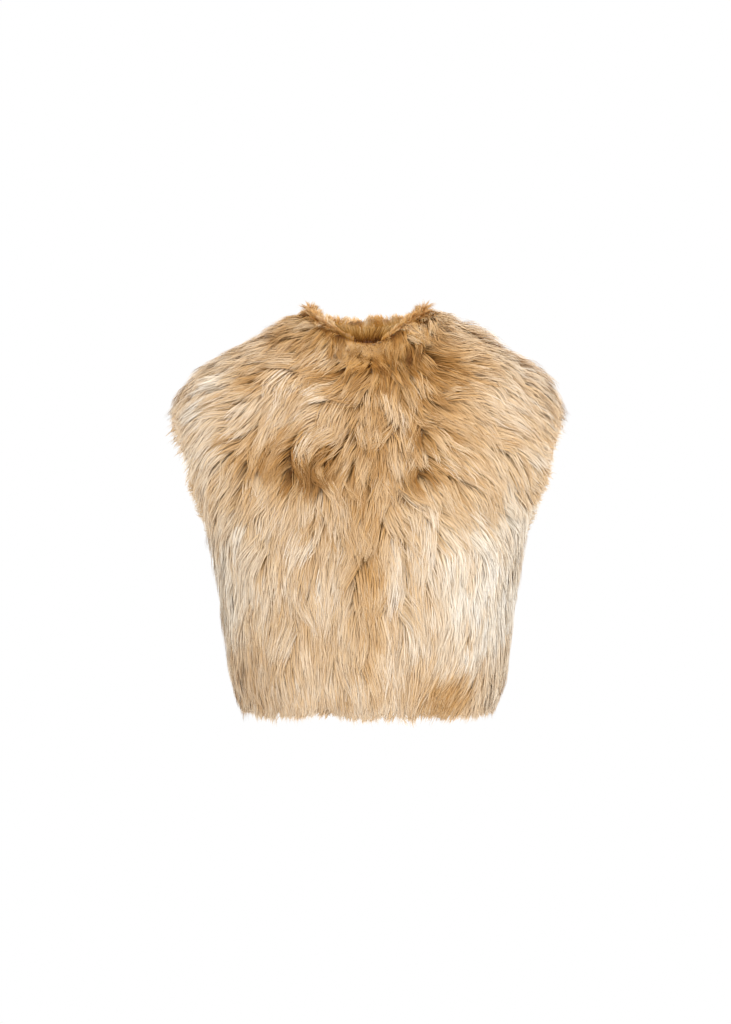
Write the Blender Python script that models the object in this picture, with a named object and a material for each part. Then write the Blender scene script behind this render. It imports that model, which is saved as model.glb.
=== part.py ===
"""Shearling vest: a cropped, sleeveless jacket of long-haired sheepskin, closed right over left.

It keeps the hollow form that it has when worn. Each cut piece is one thick wall: the tanned skin is its
plain inner face, and the outer face is where the fur ends, raised in locks. Metres, +Z up, front towards -Y.
The origin lies between the two neck ends of the shoulder seams, where the wearer's shoulders carry the vest.
"""

import bmesh
import bpy
import numpy as np

# Wall: the skin's inner face to the tips of the lying fur, and the gap that is left at every seam.
PILE = 0.018
SEAM_GAP = 0.0003
LOCK_RELIEF = 0.0035
LOCK_ROWS = 3

# Grid of each panel. Locks are two columns wide and LOCK_ROWS rows long.
ROWS = 29
SHOULDER_COLUMNS = 13
NECK_COLUMNS_FRONT = 7
NECK_COLUMNS_BACK = 13
OVERLAP_COLUMNS = 5

# Body sections of the skin's inner face, from the hem up.
HEM_HEIGHT = -0.508
SECTION_POWER = 2.5
SECTIONS = {
    "height": (-0.508, -0.470, -0.400, -0.320, -0.270, -0.235, -0.190, -0.140, -0.090, -0.040, 0.020),
    "half_width": (0.156, 0.162, 0.171, 0.183, 0.196, 0.217, 0.242, 0.254, 0.250, 0.248, 0.247),
    "front_depth": (0.106, 0.110, 0.114, 0.118, 0.119, 0.117, 0.110, 0.094, 0.075, 0.059, 0.046),
    "back_depth": (0.098, 0.099, 0.102, 0.107, 0.110, 0.111, 0.111, 0.107, 0.096, 0.078, 0.056),
}

# The shoulder seam's line, seen from the front, and how far below it the shoulder is still rounding over.
SHOULDER = {
    "across": (0.000, 0.068, 0.130, 0.185, 0.215, 0.236, 0.260),
    "height": (0.034, 0.000, -0.033, -0.064, -0.086, -0.112, -0.150),
}
SHOULDER_ROUNDING = 0.075

# Armhole: half its opening, front to back, at each height.
UNDERARM_HEIGHT = -0.280
ARMHOLE = {
    "height": (-0.280, -0.268, -0.250, -0.220, -0.185, -0.145, -0.105, -0.060),
    "half_opening": (0.000, 0.016, 0.034, 0.050, 0.056, 0.049, 0.036, 0.030),
}
ARMHOLE_OVERHANG = 0.009
ARMHOLE_THINNING = 0.65

# Neckline on the body, as an oval seen from above that comes to a slight point at each shoulder seam.
NECK_HALF_WIDTH = 0.085
NECK_HALF_DEPTH = 0.066
NECK_CENTRE_Y = -0.002
NECK_POWER_ACROSS = 2.0
NECK_POWER_DEEP = 1.25

# Front closure, as shares of a front's width from the centre line: the right front's edge lies past the
# centre, over the left front, whose fur is pressed flat there.
OVER_EDGE = 0.145
UNDER_EDGE = -0.070
PRESSED_PILE = 0.0040
OVERLAP_CLEARANCE = 0.0006
OVER_EDGE_THINNING = (0.50, 0.82)
UNDER_EDGE_RISE = (0.62, 0.92)

# Hem: the fur thins out and hangs below the skin, longest in the middle of each lock.
HEM_THINNING = (0.40, 0.76, 0.94)
HEM_OVERHANG = 0.012
HEM_OVERHANG_BETWEEN_LOCKS = 0.005

# Soft hollows and flutes in the drape, a column for each: two chest hollows, two flutes at the front hem,
# the hollow of the back and two flutes at the back hem.
FOLDS = {
    "side": ("front", "front", "front", "front", "back", "back", "back"),
    "across": (-0.100, 0.082, -0.058, 0.100, 0.000, -0.095, 0.095),
    "height": (-0.205, -0.190, -0.505, -0.500, -0.300, -0.490, -0.490),
    "half_width": (0.036, 0.032, 0.022, 0.022, 0.040, 0.028, 0.028),
    "half_height": (0.065, 0.065, 0.110, 0.100, 0.140, 0.120, 0.120),
    "depth": (0.008, 0.009, 0.006, 0.006, 0.007, 0.006, 0.006),
}

# Collar: a low stand, furred on both faces. Its rim is a ring of this oval, with its crest at these heights.
# The turn is in degrees seen from above, from the centre front towards the wearer's left, all the way round.
RIM_HALF_WIDTH = 0.078
RIM_HALF_DEPTH = 0.061
RIM_CENTRE_Y = -0.001
RIM_ROUNDING = 0.018
RIM_POINTS = 5
RIM_LAST_ANGLE = np.radians(35)
RIM = {
    "turn": (0, 20, 32, 48, 68, 90, 120, 150, 180, 210, 240, 270, 292, 312, 336, 360),
    "crest": (
        *(-0.028, -0.026, -0.010, 0.005, 0.017, 0.023, 0.018, 0.011),
        *(0.008, 0.011, 0.018, 0.023, 0.018, 0.003, -0.024, -0.028),
    ),
}
COLLAR_BULGE = 0.004
COLLAR_LOCK_RELIEF = 0.002

# Finish of each piece: the fur's mean colour there.
FINISHES = {
    "front_right": {"colour": (0.66, 0.50, 0.32, 1.0), "roughness": 0.85},
    "front_left": {"colour": (0.72, 0.56, 0.38, 1.0), "roughness": 0.85},
    "back_right": {"colour": (0.70, 0.55, 0.38, 1.0), "roughness": 0.85},
    "back_left": {"colour": (0.70, 0.55, 0.38, 1.0), "roughness": 0.85},
    "collar": {"colour": (0.56, 0.38, 0.20, 1.0), "roughness": 0.88},
}

SIDES = {"front": -1.0, "back": 1.0}
CURVE_STEPS = 60
SEARCH_STEPS = 40


def smooth_value(table, column, at, key="height"):
    """The column's value at a place in the table, on a smooth curve through its rows."""
    places = np.array(table[key])
    values = np.array(table[column])
    slopes = np.gradient(values, places)
    at = np.clip(at, places[0], places[-1])
    row = np.clip(np.searchsorted(places, at) - 1, 0, len(places) - 2)
    length = places[row + 1] - places[row]
    part = (at - places[row]) / length
    start = (1 + 2 * part) * (1 - part) ** 2 * values[row] + part * (1 - part) ** 2 * length * slopes[row]
    end = part**2 * (3 - 2 * part) * values[row + 1] + part**2 * (part - 1) * length * slopes[row + 1]
    return start + end


def armhole_half_opening(height):
    """Half the armhole's width at a height, nothing below the underarm."""
    if height <= UNDERARM_HEIGHT:
        return 0.0
    return max(0.0, float(smooth_value(ARMHOLE, "half_opening", height)))


def section_curve(height, side):
    """Half of a body section, from the centre line to the side seam or the armhole: its x and depth."""
    half_width = smooth_value(SECTIONS, "half_width", height)
    depth = smooth_value(SECTIONS, side + "_depth", height)
    opening = min(armhole_half_opening(height) / depth, 0.95)
    last_angle = np.arccos(opening ** (SECTION_POWER / 2))
    angles = np.linspace(0.0, last_angle, CURVE_STEPS)
    across = half_width * np.sin(angles) ** (2 / SECTION_POWER)
    deep = depth * np.abs(np.cos(angles)) ** (2 / SECTION_POWER)
    return across, deep


def fold_depth(across, height, side):
    """How far the drape's hollows take the wall in at a place."""
    here = np.array(FOLDS["side"]) == side
    sideways = (across - np.array(FOLDS["across"])) / np.array(FOLDS["half_width"])
    upwards = (height - np.array(FOLDS["height"])) / np.array(FOLDS["half_height"])
    depths = np.array(FOLDS["depth"]) * np.exp(-(sideways**2) - upwards**2)
    return depths[here].sum()


def skin_point(share, height, side):
    """A point of the skin's inner face. The share runs from -1 to 1, evenly along the panel's section."""
    across, deep = section_curve(height, side)
    lengths = np.concatenate([[0.0], np.cumsum(np.hypot(np.diff(across), np.diff(deep)))])
    wanted = abs(share) * lengths[-1]
    x = np.sign(share) * np.interp(wanted, lengths, across)
    y = np.interp(wanted, lengths, deep)
    below_seam = smooth_value(SHOULDER, "height", abs(x), "across") - height
    rounding = np.clip(below_seam / SHOULDER_ROUNDING, 0.0, 1.0)
    closing = np.sqrt(1 - (1 - rounding) ** 2)
    inward = min(fold_depth(x, height, side), 0.5 * y) * closing
    return np.array([x, SIDES[side] * (y - inward) * closing, height])


def is_past_top(share, height, side):
    """True where a column has reached the shoulder seam or the neckline."""
    x, y, _ = skin_point(share, height, side)
    across = abs(x / NECK_HALF_WIDTH) ** NECK_POWER_ACROSS
    deep = abs((y - NECK_CENTRE_Y) / NECK_HALF_DEPTH) ** NECK_POWER_DEEP
    return across + deep < 1 or height >= smooth_value(SHOULDER, "height", abs(x), "across")


def halved(low, high, is_high):
    """The value between low and high where is_high turns true."""
    for _ in range(SEARCH_STEPS):
        middle = (low + high) / 2
        low, high = (low, middle) if is_high(middle) else (middle, high)
    return (low + high) / 2


def top_height(share, side):
    """Height of a column's upper end."""
    highest = max(SHOULDER["height"])
    return halved(UNDERARM_HEIGHT, highest, lambda height: is_past_top(share, height, side))


def neck_corner(side):
    """Share of a panel's width where its neckline meets its shoulder seam."""

    def is_on_shoulder(share):
        x = skin_point(share, top_height(share, side), side)[0]
        return x >= NECK_HALF_WIDTH

    return halved(0.1, 0.8, is_on_shoulder)


def skin_column(share, side):
    """One column of a panel's inner face, evenly spaced from the hem to the top."""
    top = top_height(share, side)
    heights = top - (top - HEM_HEIGHT) * (1 - np.linspace(0.0, 1.0, 3 * CURVE_STEPS)) ** 2
    points = np.array([skin_point(share, height, side) for height in heights])
    lengths = np.concatenate([[0.0], np.cumsum(np.linalg.norm(np.diff(points, axis=0), axis=1))])
    wanted = np.linspace(0.0, lengths[-1], ROWS)
    return np.stack([np.interp(wanted, lengths, points[:, axis]) for axis in range(3)], axis=1)


def unit(vectors):
    """The vectors at length 1."""
    return vectors / np.linalg.norm(vectors, axis=-1, keepdims=True)


def outward_normals(skin, shares, corner):
    """Outward directions of a skin grid. Along a seam they stay in the seam's plane."""
    normals = np.cross(np.gradient(skin, axis=0), np.gradient(skin, axis=1))
    normals[-1, np.abs(shares) >= corner - 1e-6, 1] = 0.0
    for column in np.flatnonzero(np.abs(shares) == 1.0):
        in_side_seam = skin[:, column, 2] <= UNDERARM_HEIGHT
        normals[in_side_seam, column, 1] = 0.0
    return unit(normals)


def lock_heights(columns):
    """Relief of the fur's locks, from 0 to 1. Odd columns are the locks' middles, which rise to the tips."""
    heights = np.zeros((ROWS, columns))
    for column in range(1, columns, 2):
        stagger = (column // 2) * 2 % LOCK_ROWS
        heights[:, column] = 1 - ((np.arange(ROWS) + stagger) % LOCK_ROWS) / LOCK_ROWS
    return heights


def fur_thickness(skin, shares, over_edge=None, under_edge=None):
    """Thickness of a panel's wall at each point of its grid."""
    thickness = PILE + LOCK_RELIEF * lock_heights(len(shares))
    for row, thinning in enumerate(HEM_THINNING):
        thickness[row] *= thinning
    for column in np.flatnonzero(np.abs(shares) == 1.0):
        in_armhole = (skin[:, column, 2] > UNDERARM_HEIGHT) & (np.arange(ROWS) < ROWS - 1)
        thickness[in_armhole, column] *= ARMHOLE_THINNING
    if over_edge is not None:
        for step, thinning in enumerate(OVER_EDGE_THINNING):
            thickness[:, over_edge + step] *= thinning
    if under_edge is not None:
        thickness[:, under_edge:] = PRESSED_PILE
        for step, rise in enumerate(UNDER_EDGE_RISE, start=1):
            thickness[:, under_edge - step] *= rise
    return thickness


def hang_over_edges(fur, skin, shares, under_edge=None):
    """Draws the outer points past the hem and the armholes, where the fur hangs over the skin's edge."""
    columns = np.arange(len(shares))
    hanging = np.where(columns % 2 == 1, HEM_OVERHANG, HEM_OVERHANG_BETWEEN_LOCKS)
    if under_edge is not None:
        hanging[under_edge:] = 0.0
    fur[0, :, 2] -= hanging
    for column in np.flatnonzero(np.abs(shares) == 1.0):
        neighbour = column + 1 if column == 0 else column - 1
        outwards = unit(skin[:, column] - skin[:, neighbour])
        reach = np.minimum(ARMHOLE_OVERHANG, 0.5 * np.abs(skin[:, column, 1]))
        fur[:, column] += outwards * reach[:, None]


def panel_grids(side, shares, corner, lift=None, over_edge=None, under_edge=None):
    """Inner and outer grids of a panel, as rows of points from the hem up. A lift raises the whole wall."""
    skin = np.stack([skin_column(share, side) for share in shares], axis=1)
    normals = outward_normals(skin, shares, corner)
    fur = skin + normals * fur_thickness(skin, shares, over_edge, under_edge)[:, :, None]
    hang_over_edges(fur, skin, shares, under_edge)
    if lift is not None:
        skin = skin + normals * lift[None, :, None]
        fur = fur + normals * lift[None, :, None]
    offset = np.array([0.0, SIDES[side] * SEAM_GAP / 2, 0.0])
    return skin + offset, fur + offset, normals


def front_shares(corner):
    """Column places of both fronts, from the wearer's left to the right, clockwise seen from above."""
    overlap = np.linspace(OVER_EDGE, UNDER_EDGE, OVERLAP_COLUMNS)
    left_neck = np.linspace(corner, OVER_EDGE, NECK_COLUMNS_FRONT - 1)[:-1]
    left_shoulder = np.linspace(1.0, corner, SHOULDER_COLUMNS)[:-1]
    right_neck = np.linspace(UNDER_EDGE, -corner, NECK_COLUMNS_FRONT)[1:]
    right_shoulder = np.linspace(-corner, -1.0, SHOULDER_COLUMNS)[1:]
    left = np.concatenate([left_shoulder, left_neck, overlap])
    right = np.concatenate([overlap, right_neck, right_shoulder])
    return left, right


def back_shares(corner):
    """Column places of the back, from the wearer's right to the left."""
    shoulder = np.linspace(-1.0, -corner, SHOULDER_COLUMNS)[:-1]
    neck = np.linspace(-corner, corner, NECK_COLUMNS_BACK)
    return np.concatenate([shoulder, neck, -shoulder[::-1]])


def back_halves(skin, fur):
    """The back's grids in two halves with a seam gap at the centre, the wearer's right half first."""
    middle = skin.shape[1] // 2
    right = [grid[:, : middle + 1].copy() for grid in (skin, fur)]
    left = [grid[:, middle:].copy() for grid in (skin, fur)]
    for right_grid, left_grid in zip(right, left):
        right_grid[:, -1, 0] -= SEAM_GAP / 2
        left_grid[:, 0, 0] += SEAM_GAP / 2
    return right, left


def overlap_lift(shares):
    """How far the right front is lifted to lie over the left front's pressed edge."""
    over_the_edge = shares >= UNDER_EDGE - 1e-9
    return np.where(over_the_edge, PRESSED_PILE + OVERLAP_CLEARANCE, 0.0)


def neighbours(count):
    """Pairs of neighbouring places along a row."""
    return zip(range(count - 1), range(1, count))


def finish_material(name):
    """The material of a named piece."""
    material = bpy.data.materials.new(name)
    material.use_nodes = True
    shader = material.node_tree.nodes["Principled BSDF"]
    shader.inputs["Base Color"].default_value = FINISHES[name]["colour"]
    shader.inputs["Roughness"].default_value = FINISHES[name]["roughness"]
    shader.inputs["Metallic"].default_value = 0.0
    return material


def piece_object(name, mesh_builder, collection):
    """A named object of the mesh, split into triangles the same way on both sides of each seam."""
    bmesh.ops.triangulate(mesh_builder, faces=mesh_builder.faces, quad_method="FIXED")
    mesh = bpy.data.meshes.new(name)
    mesh_builder.to_mesh(mesh)
    mesh_builder.free()
    mesh.shade_smooth()
    mesh.set_sharp_from_angle(angle=np.radians(50))
    mesh.materials.append(finish_material(name))
    piece = bpy.data.objects.new(name, mesh)
    collection.objects.link(piece)
    return piece


def wall_piece(name, skin, fur, collection):
    """A closed wall between an inner and an outer grid of the same size."""
    builder = bmesh.new()
    inner = [[builder.verts.new(point) for point in row] for row in skin]
    outer = [[builder.verts.new(point) for point in row] for row in fur]
    rows, columns = len(skin), len(skin[0])
    for low, high in neighbours(rows):
        for one, two in neighbours(columns):
            builder.faces.new((outer[low][one], outer[high][one], outer[high][two], outer[low][two]))
            builder.faces.new((inner[low][one], inner[low][two], inner[high][two], inner[high][one]))
        builder.faces.new((outer[high][0], outer[low][0], inner[low][0], inner[high][0]))
        builder.faces.new((outer[low][-1], outer[high][-1], inner[high][-1], inner[low][-1]))
    for one, two in neighbours(columns):
        builder.faces.new((outer[0][one], outer[0][two], inner[0][two], inner[0][one]))
        builder.faces.new((outer[-1][one], inner[-1][one], inner[-1][two], outer[-1][two]))
    return piece_object(name, builder, collection)


def neck_edge(grids, shares, corner):
    """A panel's neckline as (inner points, outer points, normals), in the order of its columns."""
    skin, fur, normals = grids
    at_neck = np.abs(shares) <= corner + 1e-6
    return skin[-1, at_neck], fur[-1, at_neck], normals[-1, at_neck]


def collar_sections(edges):
    """Sections of the collar, each a ring from the neckline's inner edge over the rim to its outer edge."""
    inner, outer, normals = (np.concatenate([edge[part] for edge in edges]) for part in range(3))
    from_axis = inner * (1, 1, 0) - (0, RIM_CENTRE_Y, 0)
    outwards = unit(from_axis)
    along_skin = unit(-outwards + normals * (outwards * normals).sum(axis=1)[:, None])
    inner = inner + SEAM_GAP * along_skin
    outer = outer + SEAM_GAP * along_skin
    turns = np.degrees(np.arctan2(outwards[:, 0], -outwards[:, 1])) % 360
    reach = 1 / np.hypot(outwards[:, 0] / RIM_HALF_WIDTH, outwards[:, 1] / RIM_HALF_DEPTH)
    rim = outwards * reach[:, None] + (0, RIM_CENTRE_Y, 0)
    crest = np.array([smooth_value(RIM, "crest", turn, "turn") for turn in turns])
    rim[:, 2] = crest - RIM_ROUNDING
    up = np.array([0.0, 0.0, 1.0])
    over_rim = [
        rim + RIM_ROUNDING * (np.cos(angle) * outwards + np.sin(angle) * up)
        for angle in np.linspace(np.pi, RIM_LAST_ANGLE, RIM_POINTS)
    ]
    relief = COLLAR_BULGE + COLLAR_LOCK_RELIEF * (np.arange(len(inner)) % 2)
    inner_wall = (inner + over_rim[0]) / 2 - 0.5 * COLLAR_BULGE * outwards
    outer_wall = (outer + over_rim[-1]) / 2 + relief[:, None] * unit(outwards + up)
    return np.stack([inner, inner_wall, *over_rim, outer_wall, outer], axis=1)


def collar_piece(name, sections, collection):
    """A closed band through the collar's cross-sections, capped at its two front ends."""
    builder = bmesh.new()
    rings = [[builder.verts.new(point) for point in section] for section in sections]
    points = len(rings[0])
    for one, two in neighbours(len(rings)):
        for point in range(points):
            after = (point + 1) % points
            builder.faces.new((rings[one][point], rings[two][point], rings[two][after], rings[one][after]))
    builder.faces.new(rings[0])
    builder.faces.new(rings[-1][::-1])
    return piece_object(name, builder, collection)


def clear_scene():
    """Removes what is in the scene before the vest is built."""
    for existing in list(bpy.data.objects):
        bpy.data.objects.remove(existing, do_unlink=True)


def build_vest():
    """Builds the two fronts, the back's two halves and the collar in a collection of their own."""
    clear_scene()
    collection = bpy.data.collections.new("shearling_vest")
    bpy.context.scene.collection.children.link(collection)
    front_corner, back_corner = neck_corner("front"), neck_corner("back")
    left_shares, right_shares = front_shares(front_corner)
    across_back = back_shares(back_corner)
    overlap_start = len(left_shares) - OVERLAP_COLUMNS

    left = panel_grids("front", left_shares, front_corner, under_edge=overlap_start)
    right = panel_grids("front", right_shares, front_corner, lift=overlap_lift(right_shares), over_edge=0)
    back = panel_grids("back", across_back, back_corner)
    wall_piece("front_left", left[0], left[1], collection)
    wall_piece("front_right", right[0], right[1], collection)
    right_half, left_half = back_halves(back[0], back[1])
    wall_piece("back_right", right_half[0], right_half[1], collection)
    wall_piece("back_left", left_half[0], left_half[1], collection)

    right_edge = neck_edge(right, right_shares, front_corner)
    back_edge = neck_edge(back, across_back, back_corner)
    left_edge = neck_edge(left, left_shares, front_corner)
    past_closure = len(left_edge[0]) - OVERLAP_COLUMNS
    left_edge = [part[:past_closure] for part in left_edge]
    collar_piece("collar", collar_sections([right_edge, back_edge, left_edge]), collection)


build_vest()
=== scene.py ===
# %% [markdown]
# # A shearling vest
# The vest is two fronts, a back and a low collar of sheepskin with its long hair left on. The imported model
# gives each piece as a thick wall, and every later piece is fitted to it. The hair must not make the vest
# much bigger.

import bpy
import numpy as np
from mathutils.bvhtree import BVHTree
from mathutils.kdtree import KDTree
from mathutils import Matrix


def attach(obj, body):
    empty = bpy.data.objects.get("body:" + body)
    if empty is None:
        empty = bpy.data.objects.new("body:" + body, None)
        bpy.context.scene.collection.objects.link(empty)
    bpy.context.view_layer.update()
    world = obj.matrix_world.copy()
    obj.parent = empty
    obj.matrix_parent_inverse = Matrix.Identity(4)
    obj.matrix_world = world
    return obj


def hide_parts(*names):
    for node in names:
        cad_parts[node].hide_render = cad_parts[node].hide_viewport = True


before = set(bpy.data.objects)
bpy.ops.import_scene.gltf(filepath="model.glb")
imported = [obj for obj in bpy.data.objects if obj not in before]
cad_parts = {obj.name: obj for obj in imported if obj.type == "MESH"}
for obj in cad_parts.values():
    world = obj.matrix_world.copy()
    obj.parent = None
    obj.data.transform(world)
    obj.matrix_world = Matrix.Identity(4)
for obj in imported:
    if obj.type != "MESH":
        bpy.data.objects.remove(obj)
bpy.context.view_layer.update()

scene = bpy.context.scene
PANELS = ("front_right", "front_left", "back_right", "back_left")
print("nodes:", sorted(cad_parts))

# %% [markdown]
# ## Camera
# The photograph looks straight at the front from chest height. A long lens a few metres away keeps the
# shoulders from bulging.


# %% Camera
def placed(name, data):
    """An object with this data, linked into the scene."""
    thing = bpy.data.objects.new(name, data)
    scene.collection.objects.link(thing)
    return thing


DISTANCE, SENSOR = 3.2, 36
camera_data = bpy.data.cameras.new("front_camera")
camera_data.sensor_fit = "VERTICAL"
camera_data.sensor_height = SENSOR
camera_data.sensor_width = SENSOR
camera_data.lens = 85.9
camera = placed("front_camera", camera_data)
camera.location = (-0.003, -DISTANCE, -0.253)
camera.rotation_euler = (np.pi / 2, 0, 0)
scene.camera = camera
scene.view_settings.view_transform = "Standard"
print("picture height at the vest:", round(DISTANCE * SENSOR / camera_data.lens, 3), "m")

# %% [markdown]
# ## Studio light
# Hair is read from its own small shadows, so the light is soft but not even. An area light's size decides
# how soft its shadows are, so large softboxes stand around the vest.


# %% Softboxes
def softbox(name, place, target, size, power):
    """A square area light that faces a target."""
    data = bpy.data.lights.new(name, "AREA")
    data.size = size
    data.energy = power
    light = placed(name, data)
    light.location = place
    toward = np.array(target) - np.array(place)
    pitch = np.arctan2(np.hypot(toward[0], toward[1]), -toward[2])
    light.rotation_euler = (pitch, 0, np.arctan2(toward[1], toward[0]) - np.pi / 2)


softbox("front_softbox", (-0.9, -2.4, 0.9), (0, 0, -0.25), 1.6, 46)
softbox("side_softbox", (1.8, -1.6, 0.5), (0, 0, -0.25), 1.2, 32)
softbox("top_softbox", (0.0, 0.3, 1.8), (0, 0, -0.20), 1.6, 16)
softbox("back_softbox", (0.6, 2.4, 0.7), (0, 0, -0.25), 1.4, 46)

# %% [markdown]
# ## White room
# The room fills the shadows from all sides. The camera sees it as plain white, as in the photograph, so a
# light path node tells these two uses apart.


# %% White room
def new_node(nodes, kind, settings=None):
    """A shader node of a kind, with some of its sockets set."""
    node = nodes.new("ShaderNode" + kind)
    for socket, value in (settings or {}).items():
        node.inputs[socket].default_value = value
    return node


def join(links, *joints):
    """Links sockets. A joint is a node and its output, then a node and its input."""
    for source, output, target, socket in joints:
        links.new(source.outputs[output], target.inputs[socket])


ROOM_LIGHT = 0.92
WHITE = (1, 1, 1, 1)
world = bpy.data.worlds.new("white_room")
scene.world = world
world.use_nodes = True
nodes = world.node_tree.nodes
lit = nodes["Background"]
lit.inputs["Color"].default_value = WHITE
lit.inputs["Strength"].default_value = ROOM_LIGHT
seen = new_node(nodes, "Background", {"Color": WHITE})
rays = new_node(nodes, "LightPath")
chosen = new_node(nodes, "MixShader")
join(
    world.node_tree.links,
    (rays, "Is Camera Ray", chosen, "Fac"),
    (lit, "Background", chosen, 1),
    (seen, "Background", chosen, 2),
    (chosen, "Shader", nodes["World Output"], "Surface"),
)
print("room light:", ROOM_LIGHT)

# %% [markdown]
# ## Floor
# A pale floor lies where a wearer's feet would be, below the picture. It only throws a little light back
# up, so one round face is enough.


# %% Floor
def new_finish(name):
    """A material, with its nodes, its links and its Principled shader."""
    finish = bpy.data.materials.new(name)
    finish.use_nodes = True
    nodes = finish.node_tree.nodes
    return finish, nodes, finish.node_tree.links, nodes["Principled BSDF"]


FLOOR_HEIGHT, FLOOR_RADIUS, FLOOR_SIDES = -1.36, 1.9, 96
angles = np.linspace(0, 2 * np.pi, FLOOR_SIDES, endpoint=False)
circle = [(FLOOR_RADIUS * np.cos(angle), FLOOR_RADIUS * np.sin(angle), FLOOR_HEIGHT) for angle in angles]
floor_mesh = bpy.data.meshes.new("floor")
floor_mesh.from_pydata(circle, [], [list(range(len(circle)))])
floor = placed("floor", floor_mesh)
floor_finish, nodes, links, shader = new_finish("pale_floor")
mottle = new_node(nodes, "TexNoise", {"Scale": 3.0})
pale = new_node(nodes, "ValToRGB")
pale.color_ramp.elements[0].color = (0.80, 0.79, 0.77, 1)
pale.color_ramp.elements[1].color = (0.86, 0.85, 0.84, 1)
join(links, (mottle, "Fac", pale, "Fac"), (pale, "Color", shader, "Base Color"))
shader.inputs["Roughness"].default_value = 0.7
floor_mesh.materials.append(floor_finish)
print("floor at", FLOOR_HEIGHT, "m")

# %% [markdown]
# ## Reading a packed wall
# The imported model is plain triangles. Read into arrays, all points of a wall can be worked on at once.
# Points that lie together are made one, so that the normals come out smooth.


# %% Read a wall
def unit(vectors):
    """The vectors at length 1."""
    return vectors / np.maximum(np.linalg.norm(vectors, axis=-1, keepdims=True), 1e-12)


def wall_mesh(name):
    """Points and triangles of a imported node."""
    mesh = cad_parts[name].data
    points = np.empty(len(mesh.vertices) * 3)
    mesh.vertices.foreach_get("co", points)
    mesh.calc_loop_triangles()
    corners = np.empty(len(mesh.loop_triangles) * 3, dtype=np.int32)
    mesh.loop_triangles.foreach_get("vertices", corners)
    points, which = np.unique(np.round(points.reshape(-1, 3), 5), axis=0, return_inverse=True)
    return points, which.ravel()[corners].reshape(-1, 3)


def face_crosses(points, faces):
    """Face normals, as long as twice the face's area."""
    one, two, three = (points[faces[:, corner]] for corner in range(3))
    return np.cross(two - one, three - one)


def face_areas(points, faces):
    """The faces' areas."""
    return np.linalg.norm(face_crosses(points, faces), axis=1) / 2


def point_normals(points, faces):
    """Smooth normals at the points."""
    crosses = face_crosses(points, faces)
    normals = np.zeros_like(points)
    for corner in range(3):
        np.add.at(normals, faces[:, corner], crosses)
    return unit(normals)


print("collar roll:", len(wall_mesh("collar")[1]), "triangles")

# %% [markdown]
# ## Finding the skin inside each wall
# On the real vest the hair grows from a thin tanned skin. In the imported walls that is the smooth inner
# face: the faces that look back towards the middle of the hollow. So the model itself says where the hair
# is rooted.

# %% Find the skins
HEM_HEIGHT = -0.5082
LOOKS_INWARD = -0.35
CHEST_MIDDLE, HOLLOW_WIDTH, UNDER_THE_WALL = -0.16, 0.6, 0.03


def skin_of_wall(name):
    """Points, triangles and normals of a panel's skin, which ends at the hem."""
    points, faces = wall_mesh(name)
    middles = points[faces].mean(axis=1)
    hollow = middles * (HOLLOW_WIDTH, 0.0, 1.0)
    hollow[:, 2] = np.minimum(middles[:, 2] - UNDER_THE_WALL, CHEST_MIDDLE)
    outward = unit(middles - hollow)
    facing = (unit(face_crosses(points, faces)) * outward).sum(axis=1)
    above_hem = middles[:, 2] > HEM_HEIGHT
    used, inner = np.unique(faces[(facing < LOOKS_INWARD) & above_hem], return_inverse=True)
    inner = inner.reshape(-1, 3)[:, ::-1]
    return points[used], inner, point_normals(points[used], inner)


skins = {name: skin_of_wall(name) for name in PANELS}
print("skin triangles:", {name: len(skin[1]) for name, skin in skins.items()})

# %% [markdown]
# ## Sewing the skins
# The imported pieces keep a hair's breadth of air at the seams. Shearling is sewn edge to edge, so edge
# points of neighbouring skins move to their common middle.


# %% Sew the skins
def edge_loops(faces):
    """Edges that only one triangle uses, in that triangle's direction."""
    edges = np.concatenate([faces[:, [0, 1]], faces[:, [1, 2]], faces[:, [2, 0]]])
    _, where, count = np.unique(np.sort(edges, axis=1), axis=0, return_index=True, return_counts=True)
    return edges[where[count == 1]]


def point_tree(points):
    """A search tree over points."""
    tree = KDTree(len(points))
    for row, point in enumerate(points):
        tree.insert(point, row)
    tree.balance()
    return tree


def sew(skins, reach):
    """Draws edges of skins together where they lie within reach of each other."""
    edges = [np.unique(edge_loops(faces)) for _, faces, _ in skins.values()]
    points = np.concatenate([skin[0][edge] for skin, edge in zip(skins.values(), edges)])
    tree = point_tree(points)
    met = np.array([np.mean([hit[0] for hit in tree.find_range(point, reach)], axis=0) for point in points])
    first = 0
    for skin, edge in zip(skins.values(), edges):
        skin[0][edge] = met[first : first + len(edge)]
        first += len(edge)


SEAM_REACH = 0.0008
sew(skins, SEAM_REACH)
for name, (points, faces, _) in skins.items():
    print(name, "skin:", round(face_areas(points, faces).sum(), 4), "square metres")

# %% [markdown]
# ## Suede and wool roots
# The skin's inside is suede: matt, a little mottled, with a short nap. Its outside is where the wool is
# rooted, a dark tangle that shows where the hair parts; its darkness is partly the wool's own brown and
# partly painted shade deep in the pile. One node group gives the uneven nap of both, and each finish sets
# its own colours and scale.


# %% Nap group
def shader_group(name, inputs, outputs):
    """An empty shader group with named sockets, and its two end nodes."""
    group = bpy.data.node_groups.new(name, "ShaderNodeTree")
    for label, kind in inputs:
        group.interface.new_socket(label, in_out="INPUT", socket_type=kind)
    for label, kind in outputs:
        group.interface.new_socket(label, in_out="OUTPUT", socket_type=kind)
    return group, group.nodes.new("NodeGroupInput"), group.nodes.new("NodeGroupOutput")


def math_node(nodes, operation, settings=None):
    """A math node, with some of its sockets set."""
    node = new_node(nodes, "Math", settings)
    node.operation = operation
    return node


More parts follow.
